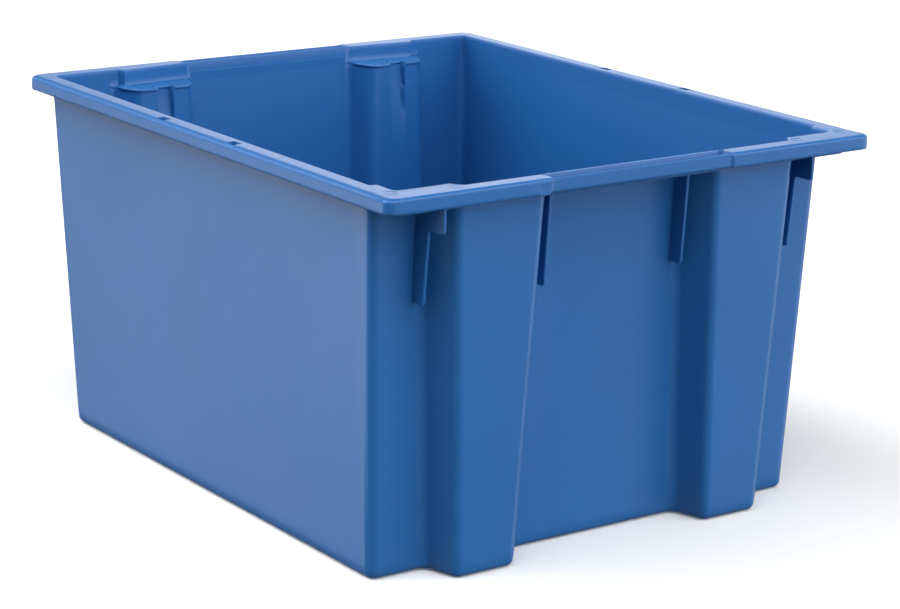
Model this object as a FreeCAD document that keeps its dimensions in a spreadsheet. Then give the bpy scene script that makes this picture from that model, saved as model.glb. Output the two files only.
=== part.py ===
import FreeCAD, Part
import math
import os
import Sketcher

# Nest-and-stack storage bin, millimetres, +Z up.
# The origin is the middle of the footprint, on the ground.
# -Y is the front end (two outward columns), +Y the rear end (two inward pilasters).

DRIVING_SIZES = {
    # overall
    "bin_length": 597,
    "bin_width": 495,
    "bin_height": 330,
    # moulded thicknesses
    "wall": 3,
    "slant_wall": 3.3,
    "floor_thickness": 3.5,
    "ledge_thickness": 3,
    "rib_thickness": 2.8,
    "flange_thickness": 3,
    "skirt_thickness": 2.5,
    # how far each wall leans in between the ledge level and the floor
    "side_draft": 11.7,
    "recess_draft": 13,
    "column_draft": 11.7,
    "rear_draft": 14.6,
    "pilaster_draft": 13,
    # corners of the body
    "corner_return": 8.5,
    "corner_radius": 8,
    "corner_inner_radius": 5,
    # rim
    "rim_overhang": 15,
    "rim_depth": 13,
    "rim_corner_radius": 10,
    "rim_corner_land": 0.5,
    "rim_edge_radius": 2.5,
    "side_skirt_proud": 1,
    "side_skirt_height": 9.5,
    "corner_flange_width": 8.5,
    "corner_flange_start": 173,
    "corner_bump_depth": 6,
    "corner_bump_length": 24,
    "channel_half": 93,
    "channel_recess": 1.3,
    "channel_drop": 2.5,
    "channel_floor_drop": 9,
    # columns and pilasters share one centre distance
    "column_centre": 130,
    "column_depth": 32,
    "column_face_half_base": 29,
    "column_face_half_top": 41.5,
    "column_root_half_base": 38.5,
    "column_root_half_top": 57.5,
    "column_radius": 7,
    "column_inner_radius": 4,
    "pilaster_depth": 29,
    "pilaster_face_half_base": 33,
    "pilaster_face_half_top": 24,
    "pilaster_root_half_base": 44,
    "pilaster_root_half_top": 37,
    "root_mitre": 1.5,
    # stacking ledges
    "ledge_drop": 15,
    "ledge_lip": 1.5,
    "ledge_corner_radius": 9,
    "notch_width": 17,
    "notch_depth": 9,
    "notch_height": 26,
    "notch_wall": 2.5,
    # nesting ribs
    "rib_length": 81,
    "rib_reach": 17.5,
    "rib_foot_reach": 15,
    "rib_gap": 0.1,
    "rib_corner_radius": 3,
    "wide_rib_reach": 38.5,
    "wide_rib_height": 33,
    # slots in the side flanges
    "slot_spacing": 117,
    "slot_length": 13,
    "slot_width": 8,
    "slot_centre_inset": 8,
}


class Size:
    """A size written as a sheet expression, together with its value."""

    def __init__(self, text, value):
        self.text = text
        self.value = value

    @staticmethod
    def of(other):
        if isinstance(other, Size):
            return other
        return Size(str(other), float(other))

    def __add__(self, other):
        other = Size.of(other)
        return Size(f"({self.text} + {other.text})", self.value + other.value)

    def __sub__(self, other):
        other = Size.of(other)
        return Size(f"({self.text} - {other.text})", self.value - other.value)

    def __mul__(self, other):
        other = Size.of(other)
        return Size(f"({self.text} * {other.text})", self.value * other.value)

    def __truediv__(self, other):
        other = Size.of(other)
        return Size(f"({self.text} / {other.text})", self.value / other.value)

    def __neg__(self):
        return self * -1

    __rmul__ = __mul__


doc = FreeCAD.newDocument("StorageBin")
sheet = doc.addObject("Spreadsheet::Sheet", "Sheet")
for row, (alias, value) in enumerate(DRIVING_SIZES.items(), start=1):
    sheet.set(f"A{row}", alias)
    sheet.set(f"B{row}", str(value))
    sheet.setAlias(f"B{row}", alias)
doc.recompute()


def size(alias):
    return Size(f"Sheet.{alias}", float(DRIVING_SIZES[alias]))


ZERO = Size("0", 0.0)
WALL = size("wall")
HALF_WIDTH = size("bin_width") / 2
HALF_LENGTH = size("bin_length") / 2

# levels
FLOOR_TOP = size("floor_thickness")
LEDGE_TOP = size("bin_height") - size("ledge_drop")
SHELL_TOP = LEDGE_TOP - size("ledge_thickness")
FLANGE_UNDERSIDE = size("bin_height") - size("flange_thickness")
SKIRT_BOTTOM = size("bin_height") - size("rim_depth")

# outer faces of the body under the rim
SIDE_X = HALF_WIDTH - size("rim_overhang")
END_Y = HALF_LENGTH - size("rim_overhang")
BAND_Y = END_Y - WALL
CENTRE = size("column_centre")


class Level:
    """The plan of the body's outer faces at one height."""

    def __init__(self, height, lean, suffix):
        self.height = height
        self.side = SIDE_X - lean * size("side_draft")
        self.recess = END_Y - size("column_depth") - lean * size("recess_draft")
        self.column = END_Y - lean * size("column_draft")
        self.rear = END_Y - lean * size("rear_draft")
        self.pilaster = END_Y - size("pilaster_depth") - lean * size("pilaster_draft")
        self.column_face = size(f"column_face_half_{suffix}")
        self.column_root = size(f"column_root_half_{suffix}")
        self.pilaster_face = size(f"pilaster_face_half_{suffix}")
        self.pilaster_root = size(f"pilaster_root_half_{suffix}")


BASE = Level(FLOOR_TOP, 1, "base")
TOP = Level(SHELL_TOP, 0, "top")


def new_body(name):
    body = doc.addObject("PartDesign::Body", name)
    body.Label = name
    return body


def origin_plane(body, role):
    return next(item for item in body.Origin.OriginFeatures if item.Role == role)


def direction(start, end):
    return (end - start).normalize()


def rounded_corner(point, before, after, radius):
    """The arc that rounds a corner, whether it turns left, and where it starts and ends."""
    back = direction(point, before)
    ahead = direction(point, after)
    half_angle = back.getAngle(ahead) / 2
    to_tangent = radius / math.tan(half_angle)
    inward = (back + ahead).normalize()
    centre = point + inward * (radius / math.sin(half_angle))
    start = point + back * to_tangent
    end = point + ahead * to_tangent
    circle = Part.Circle(centre, FreeCAD.Vector(0, 0, 1), radius)
    turns_left = (start - centre).cross(end - centre).z > 0
    low, high = (start, end) if turns_left else (end, start)
    low_angle = math.atan2(low.y - centre.y, low.x - centre.x)
    high_angle = math.atan2(high.y - centre.y, high.x - centre.x)
    if high_angle < low_angle:
        high_angle += 2 * math.pi
    arc = Part.ArcOfCircle(circle, low_angle, high_angle)
    return arc, turns_left, start, end


def hold(sketch, geometry, place, corner):
    """Ties one point of a sketch to its pair of sizes."""
    for kind, distance in zip(("DistanceX", "DistanceY"), corner):
        rule = Sketcher.Constraint(kind, -1, 1, geometry, place, distance.value)
        number = sketch.addConstraint(rule)
        sketch.setExpression(f"Constraints[{number}]", distance.text)


def outline(body, name, corners, offset=ZERO, role="XY_Plane"):
    """A closed sketch. A corner is (u, v) when sharp and (u, v, radius) when rounded."""
    sketch = body.newObject("Sketcher::SketchObject", f"{body.Name}_{name}")
    sketch.AttachmentSupport = [(origin_plane(body, role), "")]
    sketch.MapMode = "FlatFace"
    sketch.setExpression("AttachmentOffset.Base.z", offset.text)
    points = [FreeCAD.Vector(corner[0].value, corner[1].value, 0) for corner in corners]
    count = len(corners)
    starts = list(points)
    ends = list(points)
    arcs = {}
    for index, corner in enumerate(corners):
        if len(corner) == 3:
            before = points[index - 1]
            after = points[(index + 1) % count]
            radius = corner[2].value
            arc, turns_left, end, start = rounded_corner(points[index], before, after, radius)
            arcs[index] = (arc, turns_left)
            ends[index] = end
            starts[index] = start
    for index in range(count):
        segment = Part.LineSegment(starts[index], ends[(index + 1) % count])
        sketch.addGeometry(segment, False)
    for index, corner in enumerate(corners):
        line_in = (index - 1) % count
        if index not in arcs:
            sketch.addConstraint(Sketcher.Constraint("Coincident", line_in, 2, index, 1))
            hold(sketch, index, 1, corner[:2])
            continue
        arc = sketch.addGeometry(arcs[index][0], False)
        first, last = (1, 2) if arcs[index][1] else (2, 1)
        sketch.addConstraint(Sketcher.Constraint("Tangent", line_in, 2, arc, first))
        sketch.addConstraint(Sketcher.Constraint("Tangent", arc, last, index, 1))
        rule = sketch.addConstraint(Sketcher.Constraint("Radius", arc, corner[2].value))
        sketch.setExpression(f"Constraints[{rule}]", corner[2].text)
        sharp = sketch.addGeometry(Part.Point(points[index]), True)
        sketch.addConstraint(Sketcher.Constraint("PointOnObject", sharp, 1, line_in))
        sketch.addConstraint(Sketcher.Constraint("PointOnObject", sharp, 1, index))
        hold(sketch, sharp, 1, corner[:2])
    sketch.Visibility = False
    return sketch


def pad(body, name, corners, start, length, role="XY_Plane"):
    feature = body.newObject("PartDesign::Pad", f"{body.Name}_{name}")
    feature.Profile = outline(body, f"{name}_outline", corners, start, role)
    feature.setExpression("Length", length.text)
    doc.recompute()
    return feature


def pocket(body, name, corners, start, depth):
    """A cut that goes down from its outline."""
    sketch = outline(body, f"{name}_outline", corners, start)
    feature = body.newObject("PartDesign::Pocket", f"{body.Name}_{name}")
    feature.Profile = sketch
    before = body.Shape.Volume
    feature.setExpression("Length", depth.text)
    doc.recompute()
    if body.Shape.Volume > before - 1:
        feature.Reversed = True
        doc.recompute()
    return feature


def loft(body, base_corners, top_corners):
    """A panel between its plan at the floor and its plan at the ledge level."""
    base = outline(body, "base", base_corners, BASE.height)
    top = outline(body, "top", top_corners, TOP.height)
    feature = body.newObject("PartDesign::AdditiveLoft", f"{body.Name}_panel")
    feature.Profile = base
    feature.Sections = [top]
    feature.Ruled = True
    doc.recompute()
    return feature


def round_edges(body, name, wanted, radius):
    """Rounds the edges that the test picks."""
    tip = body.Tip
    names = []
    for number, edge in enumerate(tip.Shape.Edges, start=1):
        if wanted(edge):
            names.append(f"Edge{number}")
    fillet = body.newObject("PartDesign::Fillet", f"{body.Name}_{name}")
    fillet.Base = (tip, names)
    fillet.setExpression("Radius", radius.text)
    doc.recompute()
    return fillet


def rectangle(x_low, x_high, y_low, y_high):
    return [(x_low, y_low), (x_high, y_low), (x_high, y_high), (x_low, y_high)]


# ---------------------------------------------------------------- floor and feet

def make_floor():
    """The flat field between the side walls, from the front recess to the pilasters."""
    body = new_body("floor_panel")
    plan = [
        (-BASE.side, -BASE.recess, size("corner_radius")),
        (BASE.side, -BASE.recess, size("corner_radius")),
        (BASE.side, BASE.pilaster),
        (-BASE.side, BASE.pilaster),
    ]
    pad(body, "plate", plan, ZERO, FLOOR_TOP)
    return body


def make_column_foot(name, side):
    """The tongue of floor that closes a column: it lands on a rear ledge when stacked."""
    body = new_body(name)
    root = BASE.column_root
    face = BASE.column_face
    radius = size("column_radius")
    plan = [
        (side * (CENTRE - root), -BASE.recess),
        (side * (CENTRE - face), -BASE.column, radius),
        (side * (CENTRE + face), -BASE.column, radius),
        (side * (CENTRE + root), -BASE.recess),
    ]
    pad(body, "plate", plan, ZERO, FLOOR_TOP)
    return body


def make_rear_centre_foot():
    """The tongue of floor between the two pilasters."""
    body = new_body("rear_centre_foot")
    face = CENTRE - BASE.pilaster_face
    root = CENTRE - BASE.pilaster_root
    plan = [
        (-face, BASE.pilaster),
        (face, BASE.pilaster),
        (root, BASE.rear),
        (-root, BASE.rear),
    ]
    pad(body, "plate", plan, ZERO, FLOOR_TOP)
    return body


def make_rear_corner_foot(name, side):
    """The tongue of floor outside a pilaster, as far as the rounded body corner."""
    body = new_body(name)
    plan = [
        (side * (CENTRE + BASE.pilaster_face), BASE.pilaster),
        (side * BASE.side, BASE.pilaster),
        (side * BASE.side, BASE.rear, size("corner_radius")),
        (side * (CENTRE + BASE.pilaster_root), BASE.rear),
    ]
    pad(body, "plate", plan, ZERO, FLOOR_TOP)
    return body


# ---------------------------------------------------------------- body panels

def make_side_wall(name, side):
    """One long flat drafted wall, between the corner panels."""
    body = new_body(name)

    def plan(level):
        outer = side * level.side
        inner = side * (level.side - WALL)
        front = -(level.recess - size("corner_return"))
        rear = level.rear - size("corner_return")
        return [(outer, front), (inner, front), (inner, rear), (outer, rear)]

    loft(body, plan(BASE), plan(TOP))
    return body


def make_corner_panel(name, side, end):
    """An angle: the rounded body corner and the flat panel as far as the column or pilaster."""
    body = new_body(name)

    def plan(level):
        outer_x = level.side
        inner_x = level.side - WALL
        if end < 0:
            face = level.recess
            root_outer = CENTRE + level.column_root
            root_inner = root_outer - size("root_mitre")
        else:
            face = level.rear
            root_outer = CENTRE + level.pilaster_root
            root_inner = root_outer + size("root_mitre")
        corner_y = face - size("corner_return")
        points = [
            (outer_x, corner_y),
            (outer_x, face, size("corner_radius")),
            (root_outer, face),
            (root_inner, face - WALL),
            (inner_x, face - WALL, size("corner_inner_radius")),
            (inner_x, corner_y),
        ]
        return [(side * point[0], end * point[1], *point[2:]) for point in points]

    loft(body, plan(BASE), plan(TOP))
    return body


def make_centre_panel(name, end):
    """The wide flat panel between the two columns or the two pilasters."""
    body = new_body(name)

    def plan(level):
        if end < 0:
            face = level.recess
            outer = CENTRE - level.column_root
            inner = outer + size("root_mitre")
        else:
            face = level.rear
            outer = CENTRE - level.pilaster_root
            inner = outer - size("root_mitre")
        y_outer = end * face
        y_inner = end * (face - WALL)
        return [(-outer, y_outer), (outer, y_outer), (inner, y_inner), (-inner, y_inner)]

    loft(body, plan(BASE), plan(TOP))
    return body


def make_column(name, side):
    """A hollow channel that stands out of the front end, open to the inside of the bin."""
    body = new_body(name)

    def plan(level):
        root = level.column_root
        face = level.column_face
        root_inner = root - size("root_mitre")
        face_inner = face - size("slant_wall")
        y_root = -level.recess
        y_face = -level.column
        outer_radius = size("column_radius")
        inner_radius = size("column_inner_radius")
        points = [
            (-root, y_root),
            (-face, y_face, outer_radius),
            (face, y_face, outer_radius),
            (root, y_root),
            (root_inner, y_root + WALL),
            (face_inner, y_face + WALL, inner_radius),
            (-face_inner, y_face + WALL, inner_radius),
            (-root_inner, y_root + WALL),
        ]
        return [(side * CENTRE + point[0], *point[1:]) for point in points]

    loft(body, plan(BASE), plan(TOP))
    return body


def make_pilaster(name, side):
    """A hollow channel that stands into the bin, open to the outside of the rear end."""
    body = new_body(name)
    middle = side * CENTRE

    def plan(level):
        root = level.pilaster_root
        face = level.pilaster_face
        root_inner = root + size("root_mitre")
        face_inner = face + size("slant_wall")
        inside = level.pilaster - WALL
        points = [
            (-root, level.rear),
            (-face, level.pilaster, size("column_inner_radius")),
            (face, level.pilaster, size("column_inner_radius")),
            (root, level.rear),
            (root_inner, level.rear - WALL),
            (face_inner, inside, size("column_radius")),
            (-face_inner, inside, size("column_radius")),
            (-root_inner, level.rear - WALL),
        ]
        return [(middle + point[0], *point[1:]) for point in points]

    loft(body, plan(BASE), plan(TOP))

    # the ledge notch runs on down the face as a short tapering groove with its own back
    groove_half = size("notch_width") / 2
    back_half = groove_half + size("notch_wall")
    face_y = TOP.pilaster
    back_y = TOP.pilaster - WALL - size("ledge_lip") + size("notch_depth")
    foot_z = SHELL_TOP - size("notch_height")
    wedge = [
        (face_y - size("wall") / 2, SHELL_TOP),
        (back_y + size("notch_wall"), SHELL_TOP),
        (face_y - size("wall") / 2, foot_z),
    ]
    pad(body, "groove_back", wedge, middle - back_half, back_half * 2, "YZ_Plane")
    cut = [
        (face_y - WALL - size("ledge_lip"), SHELL_TOP),
        (back_y, SHELL_TOP),
        (face_y - WALL - size("ledge_lip"), foot_z + size("notch_wall")),
    ]
    sketch = outline(body, "groove_outline", cut, middle - groove_half, "YZ_Plane")
    groove = body.newObject("PartDesign::Pocket", f"{name}_groove")
    groove.Profile = sketch
    groove.Reversed = True
    groove.setExpression("Length", (groove_half * 2).text)
    doc.recompute()
    return body


# ---------------------------------------------------------------- stacking ledges

def make_rear_ledge(name, side):
    """The shelf on top of a pilaster, with a lip and a notch in the middle of its front."""
    body = new_body(name)
    front = TOP.pilaster - WALL - size("ledge_lip")
    front_half = TOP.pilaster_face + size("slant_wall")
    back_half = TOP.pilaster_root + size("root_mitre")
    notch_half = size("notch_width") / 2
    notch_back = front + size("notch_depth")
    radius = size("ledge_corner_radius")
    points = [
        (-back_half, BAND_Y),
        (-front_half, front, radius),
        (-notch_half, front),
        (-notch_half, notch_back),
        (notch_half, notch_back),
        (notch_half, front),
        (front_half, front, radius),
        (back_half, BAND_Y),
    ]
    plan = [(side * CENTRE + point[0], *point[1:]) for point in points]
    pad(body, "shelf", plan, SHELL_TOP, size("ledge_thickness"))
    return body


def make_front_centre_ledge():
    """The shelf over the centre recess, between the two columns."""
    body = new_body("front_centre_ledge")
    root = CENTRE - TOP.column_root + size("root_mitre")
    face = CENTRE - TOP.column_face + size("slant_wall")
    inner_y = -(TOP.recess - WALL)
    plan = [(-face, -BAND_Y), (face, -BAND_Y), (root, inner_y), (-root, inner_y)]
    pad(body, "shelf", plan, SHELL_TOP, size("ledge_thickness"))
    return body


def make_front_corner_ledge(name, side):
    """The shelf over a front corner recess."""
    body = new_body(name)
    root = CENTRE + TOP.column_root - size("root_mitre")
    face = CENTRE + TOP.column_face - size("slant_wall")
    inner_y = -(TOP.recess - WALL)
    wall_x = TOP.side - WALL
    points = [(face, -BAND_Y), (wall_x, -BAND_Y), (wall_x, inner_y), (root, inner_y)]
    plan = [(side * x, y) for x, y in points]
    pad(body, "shelf", plan, SHELL_TOP, size("ledge_thickness"))
    return body


# ---------------------------------------------------------------- nesting ribs

def rib_is_sharp(edge):
    """The free lower corner of a rib, a short edge across its thickness."""
    box = edge.BoundBox
    across = box.XLength > 1 and box.YLength < 0.01 and box.ZLength < 0.01
    return across and box.ZMax < SHELL_TOP.value - 1


def rib_profile(level_root, draft, reach, foot_reach, end):
    """A plate standing out of a drafted end wall, as (y, z) corners."""
    foot_z = SHELL_TOP - size("rib_length")
    run = SHELL_TOP - FLOOR_TOP
    foot_root = level_root - draft * size("rib_length") / run
    return [
        (end * foot_root, foot_z),
        (end * (foot_root + foot_reach), foot_z),
        (end * (level_root + reach), SHELL_TOP),
        (end * level_root, SHELL_TOP),
    ]


def make_plain_rib(name, middle, root, draft, end):
    body = new_body(name)
    profile = rib_profile(root, draft, size("rib_reach"), size("rib_foot_reach"), end)
    start = middle - size("rib_thickness") / 2
    pad(body, "plate", profile, start, size("rib_thickness"), "YZ_Plane")
    free = end * profile[1][0].value

    def at_free_corner(edge):
        return rib_is_sharp(edge) and end * edge.BoundBox.Center.y > free - 0.01

    round_edges(body, "free_corner", at_free_corner, size("rib_corner_radius"))
    return body


def make_wide_rib(name, middle):
    """A front corner rib whose head widens to brace the flange."""
    body = new_body(name)
    foot = rib_profile(
        TOP.recess, size("recess_draft"), size("rib_reach"), size("rib_foot_reach"), -1
    )
    head_y = -(TOP.recess + size("wide_rib_reach"))
    shoulder_z = FLANGE_UNDERSIDE - size("wide_rib_height")
    band_y = -END_Y
    narrow_y = -(TOP.recess + size("rib_reach"))
    profile = [
        foot[0],
        foot[1],
        (narrow_y, shoulder_z),
        (head_y, shoulder_z),
        (head_y, FLANGE_UNDERSIDE),
        (band_y, FLANGE_UNDERSIDE),
        (band_y, SHELL_TOP),
        foot[3],
    ]
    start = middle - size("rib_thickness") / 2
    pad(body, "plate", profile, start, size("rib_thickness"), "YZ_Plane")
    free = foot[1][0].value

    def at_free_corner(edge):
        y = edge.BoundBox.Center.y
        z = edge.BoundBox.Center.z
        low = z < SHELL_TOP.value - size("rib_length").value + 0.01 and y < free + 0.01
        head = y < head_y.value + 0.01
        return rib_is_sharp(edge) and (low or head)

    round_edges(body, "free_corners", at_free_corner, size("rib_corner_radius"))
    return body


# ---------------------------------------------------------------- rim

def rim_top_edge(y_sign):
    """Picks the outer top edge of an end rim, its rounded corner included."""

    def wanted(edge):
        box = edge.BoundBox
        at_top = box.ZMin > FLANGE_UNDERSIDE.value + 0.5
        outer_y = y_sign * box.Center.y > HALF_LENGTH.value - size("rim_corner_radius").value
        outer_x = abs(box.Center.x) > HALF_WIDTH.value - size("rim_corner_radius").value
        along_end = y_sign * box.Center.y > HALF_LENGTH.value - 0.01
        turning = outer_x and outer_y and box.XLength > 1 and box.YLength > 1
        return at_top and (along_end or turning)

    return wanted


def make_end_rim(name, side, end):
    """One end of the rim, from the centre channel round to the side rim: band, flange, skirt."""
    body = new_body(name)
    inner = size("channel_half")
    turn = HALF_LENGTH - size("rim_corner_radius") - size("rim_corner_land")
    skirt = size("skirt_thickness")

    corner = (HALF_WIDTH, HALF_LENGTH, size("rim_corner_radius"))
    inner_corner = (
        HALF_WIDTH - skirt,
        HALF_LENGTH - skirt,
        size("rim_corner_radius") - skirt,
    )

    def place(points):
        return [(side * point[0], end * point[1], *point[2:]) for point in points]

    band = rectangle(inner, SIDE_X, BAND_Y, END_Y)
    pad(body, "band", place(band), SHELL_TOP, FLANGE_UNDERSIDE - SHELL_TOP)
    wide_y = BAND_Y - size("corner_flange_width")
    if end < 0:
        # wide over the corner recess
        step = size("corner_flange_start")
        plan = [
            (inner, BAND_Y),
            (step, BAND_Y),
            (step, wide_y),
            (SIDE_X - WALL, wide_y),
            (SIDE_X - WALL, turn),
            (HALF_WIDTH, turn),
            corner,
            (inner, HALF_LENGTH),
        ]
    else:
        # wide over the pilaster ledge
        step = CENTRE + TOP.pilaster_root
        plan = [
            (inner, wide_y),
            (step, wide_y),
            (step, BAND_Y),
            (SIDE_X - WALL, BAND_Y),
            (SIDE_X - WALL, turn),
            (HALF_WIDTH, turn),
            corner,
            (inner, HALF_LENGTH),
        ]
    pad(body, "flange", place(plan), FLANGE_UNDERSIDE, size("flange_thickness"))
    apron = [
        (inner, HALF_LENGTH - skirt),
        inner_corner,
        (HALF_WIDTH - skirt, turn),
        (HALF_WIDTH, turn),
        corner,
        (inner, HALF_LENGTH),
    ]
    pad(body, "skirt", place(apron), SKIRT_BOTTOM, FLANGE_UNDERSIDE - SKIRT_BOTTOM)
    round_edges(body, "top_edge", rim_top_edge(end), size("rim_edge_radius"))
    return body


def make_rim_channel(name, end):
    """The middle of an end rim: an open trough between the inner lip and a lower skirt."""
    body = new_body(name)
    half = size("channel_half")
    outer = HALF_LENGTH - size("channel_recess")
    skirt_inner = outer - size("skirt_thickness")
    trough_top = size("bin_height") - size("channel_floor_drop")

    def strip(y_low, y_high):
        return [(x, end * y) for x, y in rectangle(-half, half, y_low, y_high)]

    lip = strip(BAND_Y, END_Y)
    trough = strip(END_Y, skirt_inner)
    apron = strip(skirt_inner, outer)
    skirt_top = size("bin_height") - size("channel_drop")
    pad(body, "lip", lip, SHELL_TOP, size("bin_height") - SHELL_TOP)
    trough_underside = trough_top - size("flange_thickness")
    pad(body, "trough", trough, trough_underside, size("flange_thickness"))
    pad(body, "skirt", apron, SKIRT_BOTTOM, skirt_top - SKIRT_BOTTOM)
    return body


def make_side_rim(name, side):
    """A long side of the rim: band, flange with two slots, and a slightly proud skirt."""
    body = new_body(name)
    turn = HALF_LENGTH - size("rim_corner_radius") - size("rim_corner_land")
    skirt = size("skirt_thickness")
    proud = size("side_skirt_proud")
    flange_x = HALF_WIDTH - proud
    band_x = SIDE_X - WALL
    bump_x = band_x - size("corner_bump_depth")
    bump_start = -(BAND_Y - size("corner_flange_width"))
    bump_end = bump_start + size("corner_bump_length")

    def place(points):
        return [(side * x, y) for x, y in points]

    band = rectangle(band_x, SIDE_X, -BAND_Y, BAND_Y)
    pad(body, "band", place(band), SHELL_TOP, FLANGE_UNDERSIDE - SHELL_TOP)
    plan = [
        (band_x, -turn),
        (flange_x, -turn),
        (flange_x, turn),
        (band_x, turn),
        (band_x, bump_end),
        (bump_x, bump_end - size("corner_bump_depth")),
        (bump_x, bump_start),
        (band_x, bump_start),
    ]
    pad(body, "flange", place(plan), FLANGE_UNDERSIDE, size("flange_thickness"))
    apron = rectangle(flange_x - skirt, flange_x, -turn, turn)
    pad(body, "skirt", place(apron), SKIRT_BOTTOM, FLANGE_UNDERSIDE - SKIRT_BOTTOM)

    def outer_top(edge):
        box = edge.BoundBox
        outer = abs(box.Center.x) > flange_x.value - 0.01
        return outer and box.ZMin > FLANGE_UNDERSIDE.value + 0.5

    round_edges(body, "top_edge", outer_top, size("rim_edge_radius"))
    facing = rectangle(flange_x, HALF_WIDTH, -turn, turn)
    pad(body, "facing", place(facing), SKIRT_BOTTOM, size("side_skirt_height"))
    slot_x = HALF_WIDTH - size("slot_centre_inset")
    for index, way in enumerate((-1, 1)):
        centre_y = way * size("slot_spacing") / 2
        slot = rectangle(
            slot_x - size("slot_width") / 2,
            slot_x + size("slot_width") / 2,
            centre_y - size("slot_length") / 2,
            centre_y + size("slot_length") / 2,
        )
        pocket(body, f"slot_{index}", place(slot), size("bin_height"), size("flange_thickness"))
    return body


# ---------------------------------------------------------------- assembly

def make_floor_parts():
    parts = [make_floor(), make_rear_centre_foot()]
    for word, side in (("left", -1), ("right", 1)):
        parts.append(make_column_foot(f"front_{word}_foot", side))
        parts.append(make_rear_corner_foot(f"rear_{word}_corner_foot", side))
    return parts


def make_walls():
    parts = [make_centre_panel("front_centre_panel", -1), make_centre_panel("rear_centre_panel", 1)]
    for word, side in (("left", -1), ("right", 1)):
        parts.append(make_side_wall(f"{word}_side_wall", side))
        parts.append(make_corner_panel(f"front_{word}_corner_panel", side, -1))
        parts.append(make_corner_panel(f"rear_{word}_corner_panel", side, 1))
        parts.append(make_column(f"front_{word}_column", side))
        parts.append(make_pilaster(f"rear_{word}_pilaster", side))
    return parts


def make_ledges():
    parts = [make_front_centre_ledge()]
    for word, side in (("left", -1), ("right", 1)):
        parts.append(make_front_corner_ledge(f"front_{word}_corner_ledge", side))
        parts.append(make_rear_ledge(f"rear_{word}_ledge", side))
    return parts


def make_ribs():
    """Ribs stand in the recesses just beside each column and inside each rear recess."""
    aside = size("rib_thickness") / 2 + size("rib_gap")
    root = TOP.recess
    draft = size("recess_draft")
    parts = []
    for word, side in (("left", -1), ("right", 1)):
        outer = side * (CENTRE + TOP.column_root + aside)
        inner = side * (CENTRE - TOP.column_root - aside)
        parts.append(make_wide_rib(f"front_{word}_outer_rib", outer))
        parts.append(make_plain_rib(f"front_{word}_inner_rib", inner, root, draft, -1))
        for place, way in (("outer", 1), ("inner", -1)):
            flat_half = TOP.pilaster_face - size("column_inner_radius")
            middle = side * (CENTRE + way * (flat_half - aside))
            name = f"rear_{word}_{place}_rib"
            rear_draft = size("pilaster_draft")
            parts.append(make_plain_rib(name, middle, TOP.pilaster, rear_draft, 1))
    return parts


def make_rim():
    parts = [make_rim_channel("front_rim_channel", -1), make_rim_channel("rear_rim_channel", 1)]
    for word, side in (("left", -1), ("right", 1)):
        parts.append(make_side_rim(f"{word}_rim", side))
        parts.append(make_end_rim(f"front_{word}_rim", side, -1))
        parts.append(make_end_rim(f"rear_{word}_rim", side, 1))
    return parts


def check(parts):
    doc.recompute()
    for item in doc.Objects:
        if "Invalid" in item.State or "Error" in item.State:
            raise RuntimeError(f"{item.Name} did not rebuild: {item.State}")
    for body in parts:
        if body.Shape.isNull() or not body.Shape.isValid():
            raise RuntimeError(f"{body.Label} has no valid shape")
        if len(body.Shape.Solids) != 1:
            raise RuntimeError(f"{body.Label} is {len(body.Shape.Solids)} solids")


def export(parts):
    os.makedirs("parts", exist_ok=True)
    for body in parts:
        body.Shape.exportStep(os.path.join("parts", f"{body.Label}.step"))


all_parts = make_floor_parts() + make_walls() + make_ledges() + make_ribs() + make_rim()
check(all_parts)
export(all_parts)
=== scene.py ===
import math

import bmesh
import bpy
import numpy as np
from mathutils import Matrix, Vector


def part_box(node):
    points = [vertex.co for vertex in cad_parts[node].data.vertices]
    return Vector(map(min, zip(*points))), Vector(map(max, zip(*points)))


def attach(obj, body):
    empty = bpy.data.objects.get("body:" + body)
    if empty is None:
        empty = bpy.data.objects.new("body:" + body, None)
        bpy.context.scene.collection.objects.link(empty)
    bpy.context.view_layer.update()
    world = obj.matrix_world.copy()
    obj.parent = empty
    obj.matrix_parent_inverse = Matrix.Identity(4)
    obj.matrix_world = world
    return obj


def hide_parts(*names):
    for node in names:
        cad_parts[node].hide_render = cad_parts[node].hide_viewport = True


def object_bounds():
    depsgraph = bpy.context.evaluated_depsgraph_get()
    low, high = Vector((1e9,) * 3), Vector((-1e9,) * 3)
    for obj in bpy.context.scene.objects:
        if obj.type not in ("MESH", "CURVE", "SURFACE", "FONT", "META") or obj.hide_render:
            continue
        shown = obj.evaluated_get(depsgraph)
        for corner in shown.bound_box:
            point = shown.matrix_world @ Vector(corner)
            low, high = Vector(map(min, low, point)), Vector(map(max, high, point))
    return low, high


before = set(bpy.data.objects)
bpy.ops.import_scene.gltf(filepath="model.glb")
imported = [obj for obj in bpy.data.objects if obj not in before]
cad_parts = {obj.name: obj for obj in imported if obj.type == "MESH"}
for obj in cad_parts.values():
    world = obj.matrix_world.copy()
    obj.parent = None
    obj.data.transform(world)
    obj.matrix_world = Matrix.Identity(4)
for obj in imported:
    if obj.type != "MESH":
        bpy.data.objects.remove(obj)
cad_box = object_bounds()

# The looks of a nest-and-stack storage bin, moulded in one piece from blue polymer.
# Lengths in this script are millimetres and become metres when a mesh is made.
# -Y is the front end (two outward columns), +Y the rear end (two inward pilasters).

MM = 0.001


def box_mm(node):
    low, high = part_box(node)
    return low / MM, high / MM


# ---------------------------------------------------------------- sizes from the frame

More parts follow.
